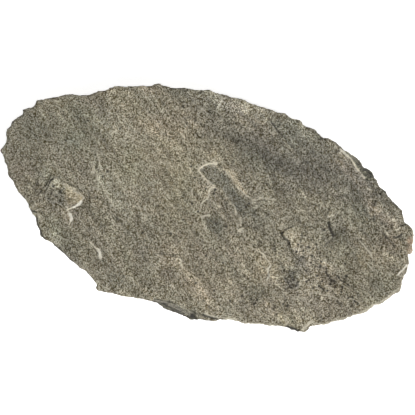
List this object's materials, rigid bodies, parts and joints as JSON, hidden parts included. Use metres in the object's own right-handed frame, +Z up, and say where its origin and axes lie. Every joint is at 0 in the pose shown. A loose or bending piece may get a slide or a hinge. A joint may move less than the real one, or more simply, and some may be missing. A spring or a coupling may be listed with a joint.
{
  "type": "quartzite flagstone slab",
  "caption": "Irregular oval slab of cleft quartzite with a hammer-trimmed rim, ledged upper face and flat underside, laid as a paver or step.",
  "frame": {"origin": "centre of the slab's box in plan, at the flat it rests on", "axes": "+X along the slab's length toward its east tip, +Y across it toward the straighter long side, +Z up, out of the cleft upper face"},
  "size_m": [0.48, 0.2576, 0.03],
  "materials": {
    "stone": "dry natural cleft quartzite, grey-beige, fine-grained and matte"
  },
  "bodies": {
    "root": {"quartzite_slab": "stone"}
  },
  "joints": []
}
